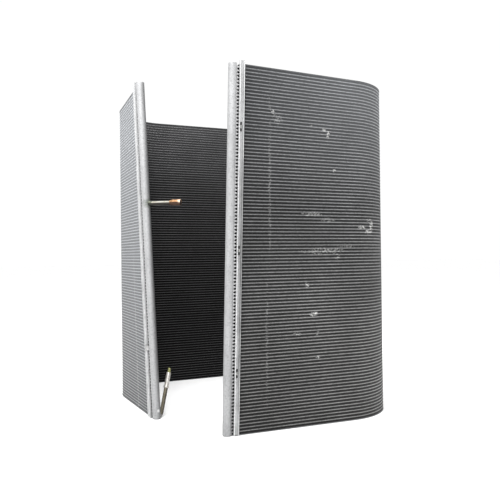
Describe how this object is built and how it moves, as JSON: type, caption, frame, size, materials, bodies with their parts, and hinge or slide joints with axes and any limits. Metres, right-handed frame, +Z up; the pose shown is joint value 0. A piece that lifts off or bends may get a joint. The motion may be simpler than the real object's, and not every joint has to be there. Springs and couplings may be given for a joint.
{
  "type": "condenser coil",
  "caption": "Wrap-round aluminium condenser coil: flat tubes and folded fins bent into an open rounded square, with two vertical headers and two pipe stubs.",
  "frame": {"origin": "middle of the footprint on the floor, under the bounding box", "axes": "+X along the front panel to the right, +Y to the back panel, +Z up the headers"},
  "size_m": [0.7738, 0.8144, 1.0224],
  "materials": {
    "brazed_core": "dull weathered aluminium with fine horizontal ribs",
    "side_plate": "satin sheet",
    "header_tube": "satin extruded tube with faint flux stains",
    "tube_ends": "dull",
    "header_caps": "satin",
    "edge_channel": "satin bent sheet",
    "channel_clips": "bright pressed metal",
    "stub_pipe": "satin tube",
    "copper_socket": "dull copper",
    "tarnished_pipe": "brown tarnish",
    "bright_sleeve": "bright drawn metal",
    "brass_tip": "yellow brass"
  },
  "bodies": {
    "root": {"tube_and_fin_core": "brazed_core", "bottom_side_plate": "side_plate", "top_side_plate": "side_plate", "return_header": "header_tube", "return_header_tube_ends": "tube_ends", "return_header_caps": "header_caps", "inlet_header": "header_tube", "inlet_header_tube_ends": "tube_ends", "inlet_header_caps": "header_caps", "inlet_header_baffle": "header_caps", "right_edge_channel": "edge_channel", "right_edge_channel_clips": "channel_clips", "left_edge_channel": "edge_channel", "left_edge_channel_clips": "channel_clips", "channel_tie_tab": "channel_clips", "gas_stub_pipe": "stub_pipe", "gas_stub_socket": "copper_socket", "liquid_stub_pipe": "tarnished_pipe", "liquid_stub_sleeve": "bright_sleeve", "liquid_stub_tip": "brass_tip"}
  },
  "joints": []
}
